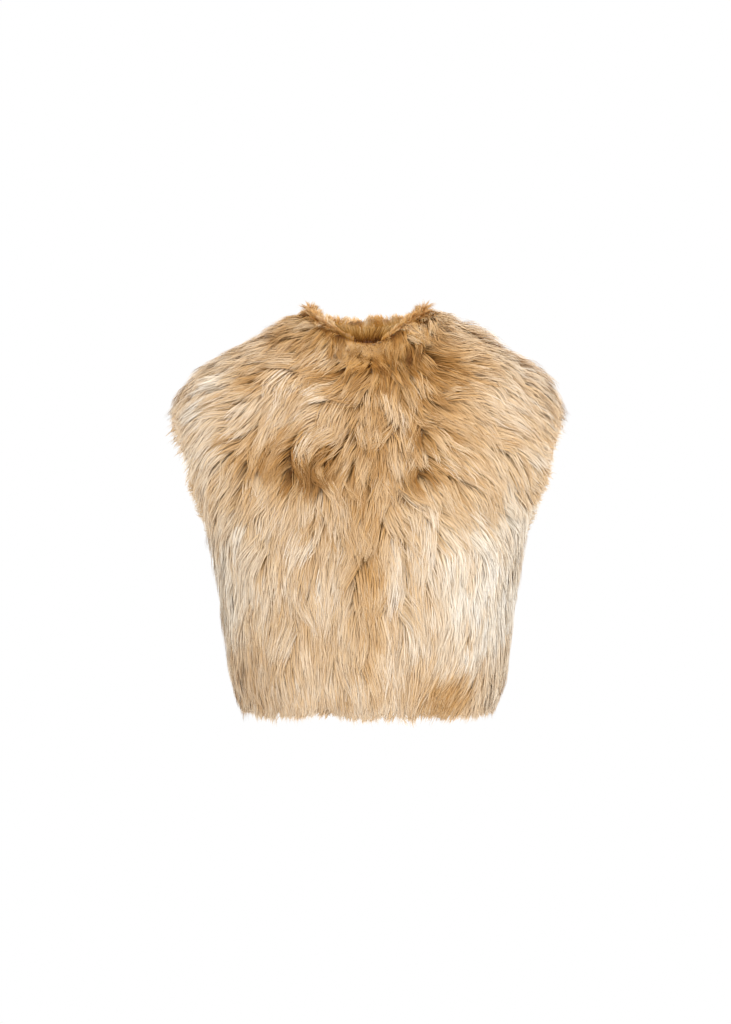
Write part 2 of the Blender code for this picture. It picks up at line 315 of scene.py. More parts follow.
FLOAT, COLOUR = "NodeSocketFloat", "NodeSocketColor"
nap_group, given, result = shader_group(
    "nap",
    [("Low Colour", COLOUR), ("High Colour", COLOUR), ("Scale", FLOAT)],
    [("Colour", COLOUR), ("Height", FLOAT), ("Roughness", FLOAT)],
)
nodes = nap_group.nodes
place = new_node(nodes, "TexCoord")
fine = new_node(nodes, "TexNoise", {"Detail": 6.0, "Roughness": 0.62})
mottle = new_node(nodes, "TexNoise", {"Scale": 14.0})
halved = math_node(nodes, "MULTIPLY", {1: 0.5})
both = math_node(nodes, "MULTIPLY_ADD", {1: 0.5})
blend = new_node(nodes, "Mix")
blend.data_type = "RGBA"
dull = new_node(nodes, "MapRange", {"To Min": 0.82, "To Max": 0.97})
join(
    nap_group.links,
    (place, "Object", fine, "Vector"),
    (place, "Object", mottle, "Vector"),
    (given, "Scale", fine, "Scale"),
    (mottle, "Fac", halved, 0),
    (fine, "Fac", both, 0),
    (halved, "Value", both, 2),
    (both, "Value", blend, "Factor"),
    (given, "Low Colour", blend, "A"),
    (given, "High Colour", blend, "B"),
    (both, "Value", dull, "Value"),
    (blend, "Result", result, "Colour"),
    (fine, "Fac", result, "Height"),
    (dull, "Result", result, "Roughness"),
)
print("nap group nodes:", len(nodes))


# %% Suede and wool finishes
def napped_finish(name, low, high, scale, bump):
    """A material that places the nap group with its own colours."""
    finish, nodes, links, shader = new_finish(name)
    nap = new_node(nodes, "Group")
    nap.node_tree = nap_group
    nap.inputs["Low Colour"].default_value = (*low, 1)
    nap.inputs["High Colour"].default_value = (*high, 1)
    nap.inputs["Scale"].default_value = scale
    raised = new_node(nodes, "Bump", {"Strength": bump, "Distance": 0.001})
    join(
        links,
        (nap, "Colour", shader, "Base Color"),
        (nap, "Roughness", shader, "Roughness"),
        (nap, "Height", raised, "Height"),
        (raised, "Normal", shader, "Normal"),
    )
    return finish


suede = napped_finish("suede", (0.46, 0.26, 0.14), (0.66, 0.42, 0.26), 260.0, 0.35)
# painted shade: the wool roots are darker than the wool, partly their own brown and partly painted shade
# deep in the pile
wool_roots_in_painted_shade = napped_finish("wool_roots_in_painted_shade", (0.14, 0.070, 0.026), (0.34, 0.20, 0.090), 420.0, 0.8)
print("finishes:", suede.name, wool_roots_in_painted_shade.name)

# %% [markdown]
# ## Skin shells
# Each panel's skin becomes a shell 1.8 mm thick, closed along its cut edges. A modifier could thicken it,
# but building both faces by hand lets each have its own finish.

# %% Skin shells
SKIN_THICKNESS = 0.0018
SHARP_EDGE = 50


def vest_piece(name, mesh):
    """A piece of the vest, which is a single body."""
    piece = placed(name, mesh)
    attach(piece, "root")
    return piece


def shell_piece(name, points, faces, normals, slot, thickness=SKIN_THICKNESS):
    """A thin closed shell on a skin, dark wool roots outside (partly painted shade), suede inside and on its
    edges.
    """
    size = len(points)
    rim = edge_loops(faces)
    sides = np.stack([rim[:, 1], rim[:, 0], rim[:, 0] + size, rim[:, 1] + size], axis=1)
    corners = np.concatenate([points, points + thickness * normals])
    mesh = bpy.data.meshes.new(name)
    mesh.from_pydata(corners, [], [*faces[:, ::-1].tolist(), *(faces + size).tolist(), *sides.tolist()])
    mesh.materials.append(suede)
    mesh.materials.append(wool_roots_in_painted_shade)
    finish = np.zeros(len(mesh.polygons), dtype=np.int32)
    finish[len(faces) : 2 * len(faces)] = 1
    mesh.polygons.foreach_set("material_index", finish)
    mesh.shade_smooth()
    mesh.set_sharp_from_angle(angle=np.radians(SHARP_EDGE))
    return vest_piece(name, mesh)


shells = {name: shell_piece(name + "_skin", *skins[name], "fur_cream") for name in PANELS}
for name, piece in shells.items():
    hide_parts(name)
print("shells:", [piece.name for piece in shells.values()])

# %% [markdown]
# ## Neckline
# The collar is sheepskin laid double, so it has hair on both faces. It is sewn to the neckline, where the
# panels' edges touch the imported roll. The points are put in order round the neck, and the last one is
# tucked under the first, as the left front is under the right.

# %% Neckline
TOUCHES, TOO_CLOSE = 0.0012, 0.002
RIGHT_FRONT_END = 75
TUCKED = np.array((0.93, 0.93, 1.0))


def turn_of(points):
    """Degrees round the neck, from the centre front towards the wearer's left."""
    return np.degrees(np.arctan2(points[:, 0], -points[:, 1])) % 360


roll_points, roll_faces = wall_mesh("collar")
roll_tree = BVHTree.FromPolygons(roll_points.tolist(), roll_faces.tolist())
neckline = []
for name in ("front_right", "back_right", "back_left", "front_left"):
    points, faces, _ = skins[name]
    edge = points[np.unique(edge_loops(faces))]
    sewn = edge[[roll_tree.find_nearest(point)[3] < TOUCHES for point in edge]]
    start = RIGHT_FRONT_END if name == "front_right" else 360
    neckline.extend(sewn[np.argsort((start - turn_of(sewn)) % 360)])
neckline = np.array(neckline)
neckline = neckline[np.append(True, np.linalg.norm(np.diff(neckline, axis=0), axis=1) > TOO_CLOSE)]
neckline = np.concatenate([neckline, [neckline[0] * TUCKED]])
turns = turn_of(neckline)
columns = len(neckline)
print("neckline turns:", np.round(turns).astype(int).tolist())

# %% [markdown]
# ## Upper edge of the collar
# The collar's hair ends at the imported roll, so the roll's highest points, lowered by the length of the
# hair, give the skin's upper edge. Averaging lets it run smoothly. Beside the neck it flares outwards.

# %% Upper edge
RIM_HAIR, SHORT_RIM_HAIR = 0.015, 0.0085
FRONT_TURN, BESIDE_TURN = 40, 7
FLARE, FLARE_TURN, FLARE_SPREAD = 0.12, 55, 25
LEAST_BAND, TUCKED_DOWN = 0.004, 0.003


def evened(values):
    """Values along the band, each averaged with its neighbours."""
    padded = np.concatenate([values[:1], values, values[-1:]])
    return (padded[:-2] + 2 * padded[1:-1] + padded[2:]) / 4


def fade(distance, reach):
    """A share that falls off softly with the distance."""
    return np.exp(-((distance / reach) ** 2))


def turned_from_front(turns):
    """Degrees round the neck from the centre front, either way."""
    return np.abs((turns + 180) % 360 - 180)


from_front = turned_from_front(turns)
rim = []
for turn, off_centre in zip(turns, from_front):
    beside = turned_from_front(turn_of(roll_points) - turn) < BESIDE_TURN
    highest = roll_points[beside][np.argsort(-roll_points[beside, 2])[:3]]
    rim.append(highest.mean(axis=0) - (0.0, 0.0, SHORT_RIM_HAIR if off_centre < FRONT_TURN else RIM_HAIR))
rim = evened(evened(np.array(rim)))
rim[:, :2] *= 1 + FLARE * fade(from_front - FLARE_TURN, FLARE_SPREAD)[:, None]
rim[-1] = rim[0] * TUCKED - (0.0, 0.0, TUCKED_DOWN)
rim[:, 2] = np.maximum(rim[:, 2], neckline[:, 2] + LEAST_BAND)
heights = (rim - neckline)[:, 2]
print("band height:", round(heights.min(), 4), "to", round(heights.max(), 4), "m")

# %% [markdown]
# ## Collar shell
# Rows of points between the neckline and the upper edge make the band, thinner where it is sewn. It is
# woolly all over. Only at the throat, where the hair is trimmed, the cut edge shows suede.

# %% Collar shell
COLLAR_THICKNESS = 2 * SKIN_THICKNESS
BAND_ROWS = 5
ROW_THICKNESS = (0.25, 0.7, 1.0, 1.0, 1.0)
THROAT_HALF_WIDTH = 0.030
shares = np.linspace(0.0, 1.0, BAND_ROWS)[:, None, None]
band = (neckline[None] * (1 - shares) + rim[None] * shares).reshape(-1, 3)
places = np.arange(BAND_ROWS * columns).reshape(BAND_ROWS, columns)
low, low_next, high, high_next = places[:-1, :-1], places[:-1, 1:], places[1:, :-1], places[1:, 1:]
band_faces = np.concatenate(
    [np.stack([low, low_next, high_next], axis=-1), np.stack([low, high_next, high], axis=-1)]
).reshape(-1, 3)
band_normals = point_normals(band, band_faces)
if (band_normals[:, :2] * unit(band[:, :2])).sum(axis=1).mean() < 0:
    band_faces, band_normals = band_faces[:, ::-1], -band_normals
thickness = COLLAR_THICKNESS * np.repeat(ROW_THICKNESS, columns)[:, None]
shells["collar"] = shell_piece("collar_skin", band, band_faces, band_normals, "fur_tan", thickness)
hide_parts("collar")
edge_middles = band[edge_loops(band_faces)].mean(axis=1)
at_throat = (edge_middles[:, 1] < 0) & (np.abs(edge_middles[:, 0]) < THROAT_HALF_WIDTH)
finish = np.ones(len(shells["collar"].data.polygons), dtype=np.int32)
finish[2 * len(band_faces) :][at_throat] = 0
shells["collar"].data.polygons.foreach_set("material_index", finish)
print("collar band:", columns, "columns,", round(face_areas(band, band_faces).sum(), 4), "square metres")

# %% [markdown]
# ## Where the collar's hair grows
# Three skins carry the collar's hair: the band's outside, its narrow rim and its inside. The inside is
# raised a little over the band's edge, and so is the outside beyond the throat, so that no bare edge shows
# between them.

# %% Collar skins
OVER_THE_EDGE = 0.0035
THROAT_TURN, RISING_TURN = 30, 20
RIM_OUTWARD = 0.5
outside = band + thickness * band_normals
risen = np.clip((from_front - THROAT_TURN) / RISING_TURN, 0.0, 1.0)
raised = np.tile(OVER_THE_EDGE * risen, BAND_ROWS)
rim_rows = np.concatenate([outside[-columns:], band[-columns:]])
rim_faces = band_faces.reshape(2, BAND_ROWS - 1, columns - 1, 3)[:, 0].reshape(-1, 3)
rim_outward = RIM_OUTWARD * np.tile(band_normals[-columns:], (2, 1))
rim_normals = unit(point_normals(rim_rows, rim_faces) + rim_outward)
inward = -unit(band * (1, 1, 0))
skins["collar_outside"] = (outside + raised[:, None] * (0.0, 0.0, 1.0), band_faces, band_normals)
skins["collar_rim"] = (rim_rows, rim_faces, rim_normals)
skins["collar_inside"] = (band + (0.0, 0.0, OVER_THE_EDGE), band_faces[:, ::-1], inward)
print("rim faces up:", round(rim_normals[:, 2].mean(), 2))

# %% [markdown]
# ## Colour of the hair
# A hair is brown at its root and cream at its tip, and some locks are paler or warmer than others. Each
# hair carries its tone, its warmth and how far along it a point lies. One node group turns these into
# colour by blending a cool and a warm ramp.

# %% Hair colour group
COOL_HAIR = (
    (0.125, 0.052, 0.012),
    (0.310, 0.165, 0.058),
    (0.505, 0.325, 0.168),
    (0.655, 0.512, 0.362),
    (0.772, 0.688, 0.580),
    (0.845, 0.812, 0.758),
)
WARM_HAIR = (
    (0.145, 0.046, 0.006),
    (0.360, 0.148, 0.022),
    (0.550, 0.284, 0.072),
    (0.705, 0.450, 0.188),
    (0.790, 0.630, 0.425),
    (0.845, 0.765, 0.640),
)


def hair_ramp(nodes, colours):
    """A ramp through evenly spaced colours."""
    node = new_node(nodes, "ValToRGB")
    elements = node.color_ramp.elements
    while len(elements) < len(colours):
        elements.new(0.5)
    for place, (element, colour) in enumerate(zip(elements, colours)):
        element.position = place / (len(colours) - 1)
        element.color = (*colour, 1)
    return node


hair_group, given, result = shader_group(
    "hair_colour",
    [("Tone", FLOAT), ("Warmth", FLOAT), ("Along", FLOAT), ("Root Depth", FLOAT)],
    [("Colour", COLOUR), ("Roughness", FLOAT)],
)
nodes = hair_group.nodes
from_tip = math_node(nodes, "SUBTRACT", {0: 1.0})
rooted = math_node(nodes, "POWER", {1: 1.7})
darkened = math_node(nodes, "MULTIPLY")
paleness = math_node(nodes, "SUBTRACT")
paleness.use_clamp = True
cool, warm = hair_ramp(nodes, COOL_HAIR), hair_ramp(nodes, WARM_HAIR)
blend = new_node(nodes, "Mix")
blend.data_type = "RGBA"
sheen = new_node(nodes, "MapRange", {"To Min": 0.75, "To Max": 0.52})
join(
    hair_group.links,
    (given, "Along", from_tip, 1),
    (from_tip, "Value", rooted, 0),
    (rooted, "Value", darkened, 0),
    (given, "Root Depth", darkened, 1),
    (given, "Tone", paleness, 0),
    (darkened, "Value", paleness, 1),
    (paleness, "Value", cool, "Fac"),
    (paleness, "Value", warm, "Fac"),
    (cool, "Color", blend, "A"),
    (warm, "Color", blend, "B"),
    (given, "Warmth", blend, "Factor"),
    (given, "Along", sheen, "Value"),
    (blend, "Result", result, "Colour"),
    (sheen, "Result", result, "Roughness"),
)
print("hair group nodes:", len(nodes))


# %% Hair finishes
def hair_finish(name, root_depth):
    """A hair material, coloured by the numbers that each hair carries."""
    finish, nodes, links, shader = new_finish(name)
    shader.inputs["Specular IOR Level"].default_value = 0.12
    colour = new_node(nodes, "Group")
    colour.node_tree = hair_group
    colour.inputs["Root Depth"].default_value = root_depth
    for label in ("Tone", "Warmth", "Along"):
        carried = new_node(nodes, "Attribute")
        carried.attribute_name = label.lower()
        join(links, (carried, "Fac", colour, label))
    join(links, (colour, "Colour", shader, "Base Color"), (colour, "Roughness", shader, "Roughness"))
    return finish


hair_finishes = {"fur_cream": hair_finish("fur_cream", 0.20), "fur_tan": hair_finish("fur_tan", 0.36)}
print("hair finishes:", list(hair_finishes))

# %% [markdown]
# ## Combing
# The hair is combed from the neck outwards over the shoulders, then falls down the body. The tables hold a
# few places with the way the hair lies there, in degrees from straight down and positive towards the
# wearer's left. Between the places the nearer ones count more.

# %% Combing tables
FRONT_COMBING = (
    # across, height, heading: left shoulder and chest
    (0.129, -0.074, 60), (0.166, -0.137, 45), (0.204, -0.213, 30), (0.141, -0.263, 25),
    (0.104, -0.213, 45), (0.091, -0.162, 60), (0.081, -0.238, 48), (0.091, -0.093, 50),
    (0.047, -0.175, 0), (0.040, -0.263, 8), (0.053, -0.112, 18),
    # below the left chest
    (0.166, -0.364, 5), (0.091, -0.364, 3), (0.150, -0.477, 6), (0.110, -0.477, -35),
    # right shoulder and chest
    (-0.149, -0.074, -62), (-0.186, -0.137, -50), (-0.211, -0.213, -25), (-0.123, -0.137, -22),
    (-0.048, -0.112, -62), (-0.073, -0.162, -42), (-0.098, -0.043, -60), (-0.111, -0.219, -20),
    (-0.063, -0.232, -8), (-0.149, -0.206, -28),
    # down the middle
    (0.015, -0.137, 0), (0.003, -0.238, 0), (0.003, -0.364, 0), (0.003, -0.490, 2),
    # below the right chest
    (-0.161, -0.364, -4), (-0.086, -0.364, 2), (-0.140, -0.477, 4),
    # round the throat
    (-0.004, -0.080, -35), (0.012, -0.056, 4), (0.034, -0.046, 0), (0.056, -0.026, 12),
)
BACK_COMBING = (
    # across, height, heading: shoulders
    (0.00, -0.05, 0), (0.10, -0.05, 45), (-0.10, -0.05, -45), (0.20, -0.10, 50), (-0.20, -0.10, -50),
    # sides, middle and hem
    (0.22, -0.20, 22), (-0.22, -0.20, -22), (0.00, -0.25, 0), (0.15, -0.35, 6), (-0.15, -0.35, -6),
    (0.00, -0.48, 0), (0.13, -0.48, 5), (-0.13, -0.48, -5),
)
NEAR_A_PLACE, NEARNESS_POWER = 0.012, 1.75


def combed_heading(places, table):
    """The way the hair lies at each place."""
    across, height, heading = np.array(table, dtype=float).T.copy()
    distances = (places[:, :1] - across) ** 2 + (places[:, 2:] - height) ** 2
    weights = (distances + NEAR_A_PLACE**2) ** -NEARNESS_POWER
    return weights @ heading / weights.sum(axis=1)


print("combed places:", len(FRONT_COMBING), "front,", len(BACK_COMBING), "back")

# %% [markdown]
# ## Whorls
# In a few places on the chest and the right shoulder the hair parts and falls away to all sides, so the
# dark roots show. Each whorl turns the combed directions away from its middle.

# %% Whorls
WHORLS = (
    # across, height, reach, strength
    (-0.150, -0.184, 0.026, 0.42),
    (-0.100, -0.198, 0.030, 0.36),
    (-0.062, -0.224, 0.020, 0.36),
    (0.068, -0.150, 0.028, 0.46),
    (0.066, -0.206, 0.026, 0.50),
    (-0.166, -0.070, 0.022, 0.35),
)
FRONT = -0.02
WHORL_FALL = 0.35


def parted(directions, places):
    """Front directions turned away from the whorls near them."""
    for across, height, reach, strength in WHORLS:
        away = places - (across, 0.0, height)
        away[:, 1] = 0.0
        distance = np.linalg.norm(away, axis=1)
        share = strength * fade(distance, reach) * (places[:, 1] < FRONT)
        spread = away / np.maximum(distance, 1e-4)[:, None] - (0.0, 0.0, WHORL_FALL)
        directions = directions * (1 - share)[:, None] + spread * share[:, None]
    return directions


print("whorls:", len(WHORLS))

# %% [markdown]
# ## Armholes
# An armhole's cut edge is hidden by hair that falls over it. Edge points at the sides that no other skin
# shares are that edge. Close to it the hair is pulled towards the middle of the opening.

# %% Armholes
ARMHOLE_PULL, ARMHOLE_REACH = 1.2, 0.011
ARMHOLE_SIDE, ARMHOLE_BOTTOM, ARMHOLE_TOP = 0.12, -0.30, -0.02
SHARED = 0.001
edges = [skins[name][0][np.unique(edge_loops(skins[name][1]))] for name in PANELS]
edge_tree = point_tree(np.concatenate(edges))
free_edge = [point for edge in edges for point in edge if len(edge_tree.find_range(point, SHARED)) == 1]
free_edge = np.array(free_edge)
across, height = np.abs(free_edge[:, 0]), free_edge[:, 2]
beside = (across > ARMHOLE_SIDE) & (height > ARMHOLE_BOTTOM) & (height < ARMHOLE_TOP)
armhole_edge = free_edge[beside]
armhole_tree = point_tree(armhole_edge)
armhole_middle = np.abs(armhole_edge).mean(axis=0) * (1, 0, -1)
print("armhole edge points:", len(armhole_edge), "middle:", np.round(armhole_middle, 3))


def towards_armholes(places):
    """Pull on the hair close to an armhole's edge."""
    distance = np.array([armhole_tree.find(place)[2] for place in places])
    middle = np.tile(armhole_middle, (len(places), 1))
    middle[:, 0] *= np.sign(places[:, 0])
    share = ARMHOLE_PULL * fade(distance, ARMHOLE_REACH)
    return share[:, None] * unit(middle - places)


# %% [markdown]
# ## The way the hair lies
# Combing, whorls and armholes together give a direction, laid flat along the skin. Inside the collar the
# hair hangs down. Hair that stands leans in or out and arches over.

# %% Lying direction
TOWARDS_NECK = -0.25
SIDE_BLEND = 0.03
STRAY_GROWTH, MOST_STRAY = 1.2, 35
HANGING_STRAY, STANDING_STRAY = 0.4, 0.6
FIRST_ARCH, ARCH_GROWTH = 0.5, 0.8


def inside_neck(places, normals):
    """True where the hair grows on the collar's inner face, towards the neck."""
    return (normals[:, :2] * unit(places[:, :2])).sum(axis=1) < TOWARDS_NECK


def lying_direction(places, normals, poise, share):
    """Unit directions in which the hair lies, a share of the way along it. Each lock strays a little."""
    stray, standing, lean = poise
    behind = np.clip((places[:, 1] + SIDE_BLEND) / (2 * SIDE_BLEND), 0.0, 1.0)
    front, back = (combed_heading(places, table) for table in (FRONT_COMBING, BACK_COMBING))
    turn = np.radians((1 - behind) * front + behind * back + stray)
    down = np.stack([np.sin(turn), np.zeros(len(turn)), -np.cos(turn)], axis=1)
    down = parted(down, places) + towards_armholes(places)
    outward = unit(places * (1, 1, 0))
    around = np.cross((0.0, 0.0, 1.0), outward)
    slant = np.radians(np.clip(STRAY_GROWTH * stray, -MOST_STRAY, MOST_STRAY))
    sideways = np.tan(slant)[:, None] * around
    inside = inside_neck(places, normals)
    down[inside] = HANGING_STRAY * sideways[inside] - (0.0, 0.0, 1.0)
    arch = (lean * (FIRST_ARCH + ARCH_GROWTH * share))[:, None]
    upright = np.sin(arch) * outward + np.cos(arch) * (0.0, 0.0, 1.0) + STANDING_STRAY * sideways
    along_skin = down - (down * normals).sum(axis=1)[:, None] * normals
    return unit(np.where(standing[:, None], upright, along_skin))


# %% [markdown]
# ## Roots
# Roots are spread evenly over the skin by area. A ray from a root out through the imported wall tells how
# deep the hair is there. A fixed seed lets each run grow the same coat.

# %% Spread roots
OFF_SKIN, DEEPEST_HAIR = 0.0006, 0.04
chance = np.random.default_rng(7)


def joined(meshes):
    """Points and faces of several meshes as one mesh."""
    starts = np.cumsum([0] + [len(points) for points, _ in meshes])
    faces = [faces + start for (_, faces), start in zip(meshes, starts)]
    return np.concatenate([points for points, _ in meshes]), np.concatenate(faces)


wall_points, wall_faces = joined([wall_mesh(name) for name in (*PANELS, "collar")])
walls = BVHTree.FromPolygons(wall_points.tolist(), wall_faces.tolist())
print("walls:", len(wall_faces), "triangles")


def spread_roots(points, faces, normals, count):
    """Evenly spread places on a skin with their normals."""
    areas = face_areas(points, faces)
    picked = faces[chance.choice(len(faces), count, p=areas / areas.sum())]
    one, two = np.sqrt(chance.random(count)), chance.random(count)
    shares = np.stack([1 - one, one * (1 - two), one * two], axis=1)[:, :, None]
    return (points[picked] * shares).sum(axis=1), unit((normals[picked] * shares).sum(axis=1))


def hair_depth(places, normals, otherwise):
    """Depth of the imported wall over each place."""
    depths = np.array(otherwise, dtype=float)
    for row, (place, normal) in enumerate(zip(places, normals)):
        hit = walls.ray_cast(place + OFF_SKIN * normal, normal, DEEPEST_HAIR)
        if hit[3] is not None:
            depths[row] = hit[3] + OFF_SKIN
    return depths


def thinned(places, gap):
    """Rows of places that keep at least a gap from each other."""
    tree = point_tree(places)
    kept = np.ones(len(places), dtype=bool)
    for row, place in enumerate(places):
        if kept[row]:
            for _, other, _ in tree.find_range(place, gap):
                if other > row:
                    kept[other] = False
    return np.flatnonzero(kept)


# %% [markdown]
# ## Combing the locks
# Hairs gather into locks. Each lock is combed in a few short steps and settles on the skin after each. Past
# a hem or an armhole it hangs free for a little way.

# %% Comb the locks
STEPS = 6
COVERED_START, COVERED_REACH = 0.002, 0.014
PAST_THE_END, SAME_SIDE = 0.3, 0.2
OUTER_SKINS = [skins[name] for name in (*PANELS, "collar_outside")]
body_points, body_faces = joined([skin[:2] for skin in OUTER_SKINS])
body_normals = np.concatenate([skin[2] for skin in OUTER_SKINS])
body_tree = BVHTree.FromPolygons(body_points.tolist(), body_faces.tolist())
print("body skin:", len(body_faces), "triangles")


def settled(ahead, normals, step, standing):
    """Nearest places on the skin. Past its end, or where hair stands, places stay."""
    places, ups = ahead.copy(), normals.copy()
    hits = [body_tree.find_nearest(place) for place in ahead]
    nearest = np.array([hit[0] for hit in hits])
    corners = body_faces[[hit[2] for hit in hits]]
    closeness = 1 / (np.linalg.norm(body_points[corners] - nearest[:, None], axis=2) + 1e-4)
    smooth = unit((body_normals[corners] * closeness[:, :, None]).sum(axis=1))
    away = ahead - nearest
    sideways = np.linalg.norm(away - (away * smooth).sum(axis=1)[:, None] * smooth, axis=1)
    same_side = (smooth * normals).sum(axis=1) > SAME_SIDE
    on_skin = (sideways < PAST_THE_END * step) & same_side & ~standing
    places[on_skin], ups[on_skin] = nearest[on_skin], smooth[on_skin]
    return places, ups, on_skin


def combed_locks(roots, normals, lengths, poise, overhang, least_depth):
    """Paths of the locks, the normals and hair depths along them, and the step where each ends."""
    depths = np.maximum(hair_depth(roots, normals, np.zeros(len(roots))), least_depth)
    path, ups, deep = [roots], [normals], [depths]
    place, up, free = roots, normals, np.zeros(len(roots))
    end = np.full(len(roots), float(STEPS))
    step = lengths / STEPS
    for taken in range(STEPS):
        heading = lying_direction(place, up, poise, taken / STEPS)
        place, up, on_skin = settled(place + heading * step[:, None], up, step, poise[1])
        stops = ~on_skin & (free + step > overhang) & (end == STEPS)
        end[stops] = taken + ((overhang - free) / step)[stops]
        free = np.where(on_skin, 0.0, free + step)
        depths = np.where(on_skin, np.maximum(hair_depth(place, up, depths), least_depth), depths)
        path.append(place)
        ups.append(up)
        deep.append(depths)
    return np.stack(path, axis=1), np.stack(ups, axis=1), np.stack(deep, axis=1), end


def uncovered(roots, normals):
    """True where no other panel lies over the skin."""
    starts = roots + COVERED_START * normals
    hits = [body_tree.ray_cast(start, up, COVERED_REACH) for start, up in zip(starts, normals)]
    return np.array([hit[3] is None for hit in hits])


# %% [markdown]
# ## Patches of tone
# The hair is brown where it parts over the chest and round the neck, warm along the closing edge, and palest
# low on the left front. Just under the collar's front edge the brown is partly painted shade. Each row of
# the table is one soft patch: where it is, how far it reaches, and how much paler or warmer it makes the
# hair.

# %% Tone patches
TONE, WARMTH = 0.634, 0.44
DEEPEST, FRONT_COOLER = -0.40, 0.17
PATCHES_END, PATCHES_FADE = 0.05, 0.08
FRONT_PATCHES = {
    # across, height, half width, half height, paler, warmer
    # partly the ruff's own brown, partly painted shade under the collar's front edge
    "brown_ruff_and_painted_shade_under_the_collar": (0.020, -0.074, 0.085, 0.046, -0.31, 0.20),
    "parting_under_the_ruff": (-0.026, -0.094, 0.030, 0.020, -0.16, 0.00),
    "ruff_on_the_left": (0.100, -0.068, 0.055, 0.042, -0.20, 0.06),
    "beside_the_neck_on_the_right": (-0.105, -0.030, 0.050, 0.036, -0.17, 0.03),
    "parting_on_the_right_shoulder": (-0.152, -0.088, 0.026, 0.018, -0.26, 0.08),
    "right_chest": (-0.100, -0.196, 0.075, 0.065, -0.13, 0.08),
    "outer_whorl_on_the_right": (-0.152, -0.196, 0.020, 0.022, -0.26, 0.04),
    "middle_whorl_on_the_right": (-0.100, -0.212, 0.028, 0.026, -0.28, 0.06),
    "inner_whorl_on_the_right": (-0.061, -0.212, 0.018, 0.036, -0.30, 0.04),
    "middle_of_the_chest": (-0.002, -0.200, 0.040, 0.080, -0.19, 0.02),
    "left_chest": (0.104, -0.180, 0.052, 0.062, -0.18, 0.14),
    "upper_whorl_on_the_left": (0.072, -0.160, 0.018, 0.018, -0.32, 0.00),
    "lower_whorl_on_the_left": (0.070, -0.216, 0.019, 0.018, -0.38, 0.04),
    "closing_edge": (0.002, -0.360, 0.024, 0.130, -0.12, 0.18),
    "lock_beside_the_closing_edge": (0.034, -0.360, 0.010, 0.080, 0.10, -0.14),
    "lower_left_front": (0.165, -0.370, 0.070, 0.120, 0.28, 0.12),
    "tuft_at_the_hem_on_the_left": (0.100, -0.490, 0.036, 0.028, -0.28, 0.26),
    "right_side": (-0.190, -0.370, 0.045, 0.120, 0.20, 0.12),
    "grey_tuft_at_the_hem_on_the_right": (-0.148, -0.460, 0.030, 0.032, -0.14, -0.20),
    "hem": (0.000, -0.506, 0.300, 0.020, -0.04, -0.16),
    "right_shoulder_edge": (-0.215, -0.090, 0.036, 0.060, 0.12, -0.06),
    "left_shoulder_edge": (0.212, -0.095, 0.036, 0.070, 0.05, -0.06),
    "short_hair_at_the_throat": (-0.002, -0.046, 0.040, 0.014, -0.02, -0.18),
}


def patch_values(places):
    """Tone and warmth of the hair at each place."""
    rows = np.array(list(FRONT_PATCHES.values()))
    across = (places[:, :1] - rows[:, 0]) / rows[:, 2]
    height = (places[:, 2:] - rows[:, 1]) / rows[:, 3]
    in_front = np.clip((PATCHES_END - places[:, 1:2]) / PATCHES_FADE, 0.0, 1.0)
    share = np.exp(-(across**2) - height**2) * in_front
    paler = np.maximum(share @ rows[:, 4], DEEPEST)
    return TONE + paler, WARMTH + share @ rows[:, 5] - FRONT_COOLER * in_front[:, 0]


print("tone patches:", len(FRONT_PATCHES))

# %% [markdown]
# ## High and short hair
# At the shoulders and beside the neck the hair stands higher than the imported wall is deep. At the front of
# the neck it is trimmed short.

# %% High and short hair
LOFT = (
    # across, height, reach, extra height of the hair as a share of its depth
    (0.118, -0.020, 0.036, 0.50),
    (-0.092, -0.008, 0.022, 0.30),
    (0.092, -0.006, 0.024, 0.25),
    (0.200, -0.050, 0.040, 0.60),
    (-0.205, -0.055, 0.036, 0.30),
)
# across, height, half width, half height, share of the length that is cut off
TRIMMED = (-0.002, -0.047, 0.040, 0.019, 0.72)


def lofted(places):
    """How much higher than usual the hair stands at each place."""
    extra = np.ones(len(places))
    for across, height, reach, share in LOFT:
        distance = np.hypot(places[:, 0] - across, places[:, 2] - height)
        extra += share * fade(distance, reach)
    return extra


def trimmed(places):
    """Share of its length that the hair keeps."""
    across, height, half_width, half_height, share = TRIMMED
    away = ((places[:, 0] - across) / half_width) ** 4 + ((places[:, 2] - height) / half_height) ** 4
    return 1 - share * np.exp(-away) * (places[:, 1] < FRONT)


print("high places:", len(LOFT))

# %% [markdown]
# ## Hairs on their locks
# A hair starts at its own root, follows its lock, rises through the pile and gathers towards the lock's
# tip. It sways a little by itself and waves with its lock.

# %% Hairs on locks
HAIR_POINTS = 5
ALONG = np.linspace(0.0, 1.0, HAIR_POINTS)
SHORTEST_HAIR = 0.62
ON_TOP, TOP_LIFT, DEEP_LIFT = 0.8, (0.72, 1.0), (0.3, 0.72)
SHORT, SHORT_LIFT = 0.6, 0.8
ROOT_RISE, TIP_RISE, RISE_POWER, GATHER_POWER = 0.10, 0.90, 2.2, 0.9
HAIR_SWAY, SWAY_WAVES, LOCK_WAVES = 0.0010, 1.6, 1.1


def on_path(values, place):
    """Values part of the way along each path."""
    low = np.clip(place.astype(int), 0, values.shape[1] - 2)
    share = place - low
    rows = np.arange(len(values))[:, None]
    share = share[:, :, None] if values.ndim == 3 else share
    return values[rows, low] * (1 - share) + values[rows, low + 1] * share


def nearest_lock(roots, lock_roots, jitter):
    """The lock that each root joins. Jitter mixes neighbouring locks."""
    tree = point_tree(lock_roots)
    moved = roots + chance.normal(0, jitter, roots.shape)
    return np.array([tree.find(place)[1] for place in moved])


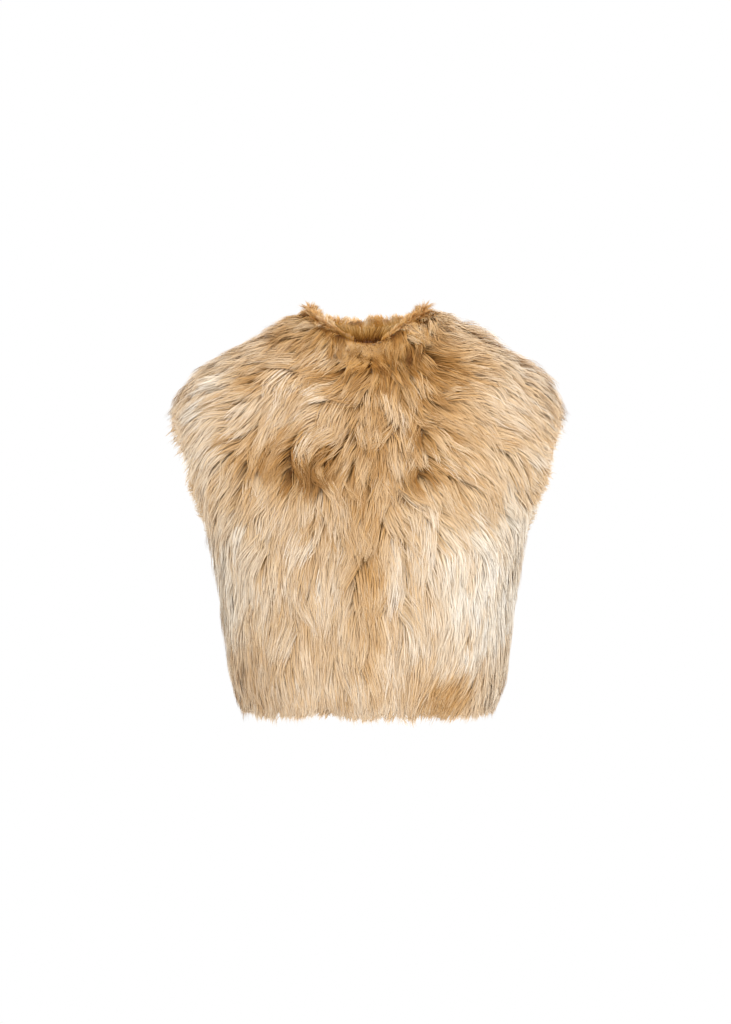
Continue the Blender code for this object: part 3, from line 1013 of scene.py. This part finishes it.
def hair_points(roots, owner, locks, kept):
    """Points along each hair, normals under them, and how high it lies in the pile."""
    paths, ups, depths, end = locks["paths"]
    shaping = ("gather", "height", "bend", "phase")
    gather, height, bend, phase = (locks[label][owner, None] for label in shaping)
    count = len(roots)
    place = ALONG[None] * (chance.uniform(SHORTEST_HAIR, 1.0, count) * end[owner] * kept)[:, None]
    surface = on_path(paths[owner], place)
    up = unit(on_path(ups[owner], place))
    depth = on_path(depths[owner], place)
    on_top = chance.random(count) < ON_TOP
    lift = np.where(on_top, chance.uniform(*TOP_LIFT, count), chance.uniform(*DEEP_LIFT, count))
    lift = np.where(kept < SHORT, SHORT_LIFT, lift) * height[:, 0] * lofted(roots) * np.sqrt(kept)
    rise = ROOT_RISE + TIP_RISE * (1 - (1 - ALONG) ** RISE_POWER)
    beside = (roots - paths[owner, 0])[:, None] * (1 - gather * ALONG**GATHER_POWER)[:, :, None]
    points = surface + beside + up * (depth * lift[:, None] * rise[None])[:, :, None]
    side = unit(np.cross(np.gradient(points, axis=1), up))
    sway = chance.normal(0, HAIR_SWAY, (count, 1))
    wave = sway * np.sin(np.pi * (SWAY_WAVES * ALONG[None] + chance.random((count, 1))))
    wave = wave + bend * np.sin(2 * np.pi * (LOCK_WAVES * ALONG[None] + phase))
    return points + side * (wave * ALONG)[:, :, None], up, lift


print("points on a hair:", HAIR_POINTS)

# %% [markdown]
# ## Hairs as ribbons
# A hair system could draw the hair, but the part has to leave as plain meshes. So each hair is a tapering
# ribbon of three quads and a tip, turned a little about its length to catch the light its own way.

# %% Ribbons
TAPER = np.array([0.9, 1.0, 0.85, 0.55, 0.0])
RIBBON_TURN = 20
CORNERS = 2 * HAIR_POINTS - 1


def ribbon_corners(points, up, widths):
    """Left and right edge points of the ribbons, turned a little about their length."""
    ahead = unit(np.gradient(points, axis=1))
    side = unit(np.cross(ahead, up))
    over = np.cross(side, ahead)
    turn = np.radians(chance.normal(0, RIBBON_TURN, (len(points), 1, 1)))
    half = (np.cos(turn) * side + np.sin(turn) * over) * widths[:, :, None] / 2
    return points - half, points + half


def joined_ribbons(name, left, right, tips):
    """A mesh of all ribbons, and the point that each face corner uses."""
    count = len(tips)
    corners = np.stack([left[:, :-1], right[:, :-1]], axis=2).reshape(count, -1, 3)
    corners = np.concatenate([corners, tips], axis=1)
    one = [corner for low in range(0, CORNERS - 3, 2) for corner in (low, low + 1, low + 3, low + 2)]
    one += [CORNERS - 3, CORNERS - 2, CORNERS - 1]
    sizes = [4] * (HAIR_POINTS - 2) + [3]
    loops = (np.array(one)[None] + CORNERS * np.arange(count)[:, None]).ravel().astype(np.int32)
    begins = np.concatenate([[0], np.cumsum(np.tile(sizes, count))[:-1]]).astype(np.int32)
    mesh = bpy.data.meshes.new(name)
    mesh.vertices.add(count * CORNERS)
    mesh.vertices.foreach_set("co", corners.ravel().astype(np.float32))
    mesh.loops.add(len(loops))
    mesh.loops.foreach_set("vertex_index", loops)
    mesh.polygons.add(len(begins))
    mesh.polygons.foreach_set("loop_start", begins)
    mesh.update(calc_edges=True)
    mesh.shade_smooth()
    return mesh, loops


print("triangles in a hair:", 2 * HAIR_POINTS - 3)

# %% [markdown]
# ## Numbers that the hairs carry
# The finishes read a hair's numbers from point attributes. A chart laid out by the same numbers lets the
# colours be baked. Hair inside the neck darkens towards its tip instead of its root, as painted shade deeper
# in the neck.

# %% Carry the colour
WARMTH_LEVELS, TONE_RANGE = 4, (0.02, 0.98)
CHART_HALF_WIDTH, CHART_START, CHART_HEIGHT = 0.0015, 0.02, 0.25


def carry_colour(mesh, loops, tone, warmth, painted_shade_at_tip):
    """Stores each hair's numbers on its points, and their colour chart."""
    count = len(tone)
    along = np.append(np.repeat(ALONG[:-1], 2), 1.0)
    # painted shade: hair inside the neck is darkened towards its tip, deeper down in the neck
    if painted_shade_at_tip:
        along = 1 - along
    level = np.clip(np.round(warmth * (WARMTH_LEVELS - 1)), 0, WARMTH_LEVELS - 1)
    tone = np.clip(tone, *TONE_RANGE)
    carried = {
        "tone": np.repeat(tone, CORNERS),
        "warmth": np.repeat(level / (WARMTH_LEVELS - 1), CORNERS),
        "along": np.tile(along, count),
    }
    for label, values in carried.items():
        stored = mesh.attributes.new(label, "FLOAT", "POINT")
        stored.data.foreach_set("value", values.astype(np.float32))
    sideways = np.append(np.tile([-CHART_HALF_WIDTH, CHART_HALF_WIDTH], HAIR_POINTS - 1), 0.0)
    chart = np.empty((count, CORNERS, 2))
    chart[:, :, 0] = ((level + tone) / WARMTH_LEVELS)[:, None] + sideways
    chart[:, :, 1] = CHART_START + CHART_HEIGHT * along
    chart_layer = mesh.uv_layers.new(name="OFBake")
    chart_layer.data.foreach_set("uv", chart.reshape(-1, 2)[loops].ravel().astype(np.float32))


# %% [markdown]
# ## A piece of fur
# All hairs of a piece become one object. Hair that lies is shaded as the body under it, which gives the
# soft look of a combed coat.

# %% Piece of fur
HAIR_WIDTH = {"fur_cream": 0.0011, "fur_tan": 0.0008}
UNEVEN_WIDTH, UNEVEN_SHADING = (0.75, 1.25), 0.05


def hair_piece(name, points, up, tone, warmth, slot, lies, painted_shade_at_tip):
    """A piece of fur with its finish and its numbers."""
    count = len(points)
    taper = HAIR_WIDTH[slot] * TAPER
    left, right = ribbon_corners(points, up, taper[None] * chance.uniform(*UNEVEN_WIDTH, (count, 1)))
    mesh, loops = joined_ribbons(name, left, right, points[:, -1:])
    shading = unit(up.mean(axis=1) + chance.normal(0, UNEVEN_SHADING, (count, 3)))
    if lies:
        mesh.normals_split_custom_set_from_vertices(np.repeat(shading, CORNERS, axis=0))
    carry_colour(mesh, loops, tone, warmth, painted_shade_at_tip)
    mesh.materials.append(hair_finishes[slot])
    print(name, "hairs:", count)
    return vest_piece(name, mesh)


# %% [markdown]
# ## Locks and tufts
# Locks are about 7 mm apart and gather into tufts about 20 mm apart. A tuft leans its own way and has its
# own height and tone, which makes the coat look tousled. The four panels share one set of locks, so hair
# from both sides of a seam mixes and hides it.

# %% Lock tables
LOCK_SETS = {
    # length, gap between locks, gap between tufts, share that stands up, least depth, overhang
    "body": (0.052, 0.0066, 0.020, 0.0, 0.010, (0.006, 0.021)),
    "collar_outside": (0.046, 0.0050, 0.016, 0.0, 0.016, (0.008, 0.020)),
    "collar_rim": (0.015, 0.0024, 0.010, 1.0, 0.003, (0.040, 0.050)),
    "collar_inside": (0.034, 0.0040, 0.012, 0.0, 0.007, (0.016, 0.030)),
}
HEM_LINE = (
    # across the front, how far the hair hangs below the skin's edge there
    (-0.165, 0.001), (-0.148, 0.005), (-0.117, 0.014), (-0.079, 0.006), (-0.060, 0.001),
    (-0.045, 0.002), (-0.022, 0.012), (0.000, 0.011), (0.024, 0.006), (0.032, 0.014),
    (0.075, 0.007), (0.104, 0.014), (0.140, 0.010), (0.165, 0.001),
)
LOWER_BODY, BLEND = -0.27, 0.02
NEAR_HEM, HEM_UNEVEN = -0.44, 0.004
TUFT_HANG, LOCK_HANG = 0.22, 0.12
ROOT_TRIES = 15000
CALM_LEAN, CHEST_LEAN = 0.58, 0.42
# across, height, half width, half height, extra lean
RIGHT_CHEST = (-0.10, -0.20, 0.060, 0.045, 0.8)
# across, reach, extra lean
CLOSING_EDGE = (0.030, 0.014, 0.5)


def tousled(places):
    """How much the tufts lean: most on the right chest and at the closing edge."""
    lean = CALM_LEAN + CHEST_LEAN / (1 + np.exp((LOWER_BODY - places[:, 2]) / BLEND))
    middle, height, half_width, half_height, chest_lean = RIGHT_CHEST
    across, above = (places[:, 0] - middle) / half_width, (places[:, 2] - height) / half_height
    edge, reach, edge_lean = CLOSING_EDGE
    extra = chest_lean * np.exp(-(across**2) - above**2) + edge_lean * fade(places[:, 0] - edge, reach)
    return lean + extra * (places[:, 1] < FRONT)


def lock_roots(label, gap):
    """Roots of a set's locks and the normals there. Covered skin has none."""
    names = PANELS if label == "body" else (label,)
    spread = [spread_roots(*skins[name], ROOT_TRIES) for name in names]
    tries, normals = (np.concatenate(values) for values in zip(*spread))
    if label == "body":
        bare = uncovered(tries, normals)
        tries, normals = tries[bare], normals[bare]
    mixed = chance.permutation(len(tries))
    tries, normals = tries[mixed], normals[mixed]
    kept = thinned(tries, gap)
    return tries[kept], normals[kept]


def hanging(roots, tuft_hang, overhang):
    """How far each lock hangs past the skin's edge, along the hem line in front."""
    share = 0.5 + TUFT_HANG * tuft_hang + LOCK_HANG * chance.normal(0, 1, len(roots))
    hang = overhang[0] + (overhang[1] - overhang[0]) * np.clip(share, 0.0, 1.0)
    hem_hang = np.interp(roots[:, 0], *zip(*HEM_LINE)) + HEM_UNEVEN * chance.random(len(roots))
    return np.where((roots[:, 2] < NEAR_HEM) & (roots[:, 1] < 0), hem_hang, hang)


print("lock sets:", list(LOCK_SETS))

# %% [markdown]
# ## Gathering the locks
# Each set of locks gets its roots, tufts and paths, and a few numbers for each lock. Hair on the collar's
# rim stands, longest where it leans out. Hair near the armholes gathers little and makes a fringe.

# %% Gather the locks
TUFT_LEAN, LOCK_LEAN = 15.0, 5.0
TUFT_PULL, PULL_POWER, TUFT_JITTER = 0.25, 1.2, 0.002
TUFT_TONE, LOCK_TONE = 0.058, 0.045
LOCK_WAVE = 0.0014
TUFT_HEIGHT, TUFT_HEIGHTS = 0.08, (0.82, 1.12)
MOST_TOUSLED = 1.2
FRINGE, LOOSE_GATHER = 0.03, 0.2
LENGTHS, GATHERS, STREAKS = (0.75, 1.10), (0.10, 0.50), (0.55, 1.45)
LONGER_BELOW, LONGER_LEANING = 0.35, 0.35
STANDING_HANG, STANDING_PULL, STANDING_HEIGHT = 0.6, 0.3, 0.35
COLLAR_FRONT = -0.03
# lean of standing hair in radians: most inwards in front, most inwards behind, most outwards
FRONT_LEAN_IN, LEAN_IN, LEAN_OUT = -0.8, -1.5, 2.6
LONGEST_LEAN = 1.5
lock_sets = {}
for label, (length, gap, tuft_gap, upright, least_depth, overhang) in LOCK_SETS.items():
    roots, normals = lock_roots(label, gap)
    count = len(roots)
    tufts = roots[thinned(roots, tuft_gap)]
    tuft = nearest_lock(roots, tufts, TUFT_JITTER)
    lean, tuft_tone, tuft_height, tuft_hang = chance.normal(0, 1, (4, len(tufts)))[:, tuft]
    tousle = tousled(roots)
    stray = tousle * (TUFT_LEAN * lean + LOCK_LEAN * chance.normal(0, 1, count))
    hang = hanging(roots, tuft_hang, overhang)
    below = 1 / (1 + np.exp((roots[:, 2] - LOWER_BODY) / BLEND))
    lengths = length * chance.uniform(*LENGTHS, count) * (1 + LONGER_BELOW * below)
    standing = chance.random(count) < upright * (trimmed(roots) > 0.5)
    hang = np.where(standing, STANDING_HANG, 1.0) * hang
    bent = chance.uniform(np.where(roots[:, 1] < COLLAR_FRONT, FRONT_LEAN_IN, LEAN_IN), LEAN_OUT)
    longer = 1 + LONGER_LEANING * np.clip(bent, 0.0, LONGEST_LEAN)
    lengths = lengths * np.where(standing, longer, 1.0)
    poise = (stray, standing, bent)
    paths, ups, depths, end = combed_locks(roots, normals, lengths, poise, hang, least_depth)
    pulled = np.where(standing, STANDING_PULL, 1.0)[:, None] * TUFT_PULL
    pulled = pulled * np.linspace(0, 1, STEPS + 1) ** PULL_POWER
    paths = paths - pulled[:, :, None] * (roots - tufts[tuft])[:, None]
    from_armhole = np.array([armhole_tree.find(root)[2] for root in roots])
    loose = (from_armhole < FRINGE) | standing
    tousle = np.minimum(tousle, MOST_TOUSLED)
    stands = np.where(standing, STANDING_HEIGHT, 1.0)
    lock_sets[label] = {
        "roots": roots,
        "paths": (paths, ups, depths, end),
        "gather": chance.uniform(*GATHERS, count) * np.where(loose, LOOSE_GATHER, 1.0) * trimmed(roots),
        "tone": tousle * TUFT_TONE * tuft_tone + LOCK_TONE * chance.normal(0, 1, count),
        "streak": chance.uniform(*STREAKS, count),
        "height": np.clip(1 + TUFT_HEIGHT * tuft_height, *TUFT_HEIGHTS) * stands,
        "bend": chance.normal(0, LOCK_WAVE, count) * tousle,
        "phase": chance.random(count),
        "standing": standing,
        "gap": gap,
    }
    print(label, "locks:", count, "tufts:", len(tufts))

# %% [markdown]
# ## Roots and tones of the fur
# Each skin's hairs join the locks around them. Where the left front runs under the right one, hair would be
# crushed, so none grows. A narrow strip at the throat stays bare, as the collar's turned edge.

# %% Fur tables
FUR = {
    # hairs, paler, warmer
    "front_right": (43500, 0.0, 0.0),
    "front_left": (32500, 0.0, 0.0),
    "back_right": (20000, 0.0, 0.0),
    "back_left": (20000, 0.0, 0.0),
    "collar_outside": (9000, -0.03, 0.24),
    "collar_rim": (7500, 0.05, 0.60),
    "collar_inside": (7000, 0.30, 0.60),
}
SPARE_ROOTS, LOCK_JITTER, NEAR_A_LOCK = 1.4, 0.0022, 0.002
BARE_EDGE = 0.0022
# painted shade: tone lost per metre that a hair inside the collar lies below the rim
INSIDE_SHADE = 36.0
NAPE, NAPE_PALER, NAPE_COOLER = 0.03, 0.05, 0.24
rim_tree = point_tree(outside[-columns:])


def hair_roots(name, locks, hair_count):
    """Roots of a skin's hairs and the lock that each of them joins."""
    roots, normals = spread_roots(*skins[name], int(SPARE_ROOTS * hair_count))
    owner = nearest_lock(roots, locks["roots"], LOCK_JITTER)
    from_lock = np.linalg.norm(roots - locks["roots"][owner], axis=1)
    close = from_lock < 2 * locks["gap"] + NEAR_A_LOCK
    if name in PANELS:
        close &= uncovered(roots, normals)
    if name == "collar_rim":
        close &= locks["standing"][owner]
    if name == "collar_outside":
        from_rim = np.array([rim_tree.find(root)[2] for root in roots])
        close &= (from_rim > BARE_EDGE) | (trimmed(roots) > SHORT) | (roots[:, 0] < 0)
    return roots[close][:hair_count], owner[close][:hair_count]


def collar_shading(name, roots, places, tone, warmth):
    """Tone and warmth on the collar: painted shade darkens the inside the lower a hair lies below the rim,
    and the outside is paler and cooler behind.
    """
    if name == "collar_inside":
        rim_height = np.array([rim_tree.find(place)[0][2] for place in places])
        tone = tone - INSIDE_SHADE * np.maximum(rim_height - places[:, 2], 0.0)
    if name == "collar_outside":
        behind = np.clip(roots[:, 1] / NAPE, 0.0, 1.0)
        tone, warmth = tone + NAPE_PALER * behind, warmth - NAPE_COOLER * behind
    return tone, warmth


print("hairs wanted:", sum(row[0] for row in FUR.values()))

# %% [markdown]
# ## Growing the fur
# The fronts have the most hair, because they are seen closest. A skin's hair is split from top to bottom
# into small pieces. A hair takes its tone from the patch under its outer half, its lock adds a streak, and
# hair deep in the pile is a little darker, as painted shade.

# %% Grow the fur
MOST_IN_A_PIECE = 26000
HAIR_TONE, HAIR_WARMTH, DEEP_PAINTED_SHADE = 0.014, 0.12, 0.03
OUTER_POINT = 3
furs = {name: [] for name in FUR}
for name, (hair_count, paler, warmer) in FUR.items():
    locks = lock_sets["body" if name in PANELS else name]
    slot = "fur_cream" if name in PANELS else "fur_tan"
    inside, lies = name == "collar_inside", name != "collar_rim"
    roots, owner = hair_roots(name, locks, hair_count)
    kept = np.ones(len(roots)) if inside else trimmed(roots)
    hairs, up, lift = hair_points(roots, owner, locks, kept)
    if not lies:
        around = np.cross((0.0, 0.0, 1.0), unit(roots * (1, 1, 0)))
        up = unit(np.cross(around[:, None], np.gradient(hairs, axis=1)))
    tone, warmth = patch_values(hairs[:, OUTER_POINT])
    tone = TONE + (tone - TONE) * locks["streak"][owner]
    # painted shade: hair that lies low in the pile is made darker
    uneven = locks["tone"][owner] + chance.normal(0, HAIR_TONE, len(tone)) - DEEP_PAINTED_SHADE * (1 - lift)
    tone = tone + paler + kept**2 * uneven
    warmth = warmth + warmer + chance.normal(0, HAIR_WARMTH, len(tone))
    tone, warmth = collar_shading(name, roots, hairs[:, OUTER_POINT], tone, warmth)
    by_height = np.argsort(-roots[:, 2], kind="stable")
    parts = int(np.ceil(len(roots) / MOST_IN_A_PIECE))
    for part, rows in enumerate(np.array_split(by_height, parts)):
        piece_name = f"{name}_fur_{part + 1}"
        piece = hair_piece(piece_name, hairs[rows], up[rows], tone[rows], warmth[rows], slot, lies, inside)
        furs[name].append(piece)
furs["collar"] = [piece for name in FUR if name not in PANELS for piece in furs.pop(name)]
fur_meshes = [piece.data for pieces in furs.values() for piece in pieces]
print("triangles of fur:", sum(len(mesh.loops) - 2 * len(mesh.polygons) for mesh in fur_meshes))
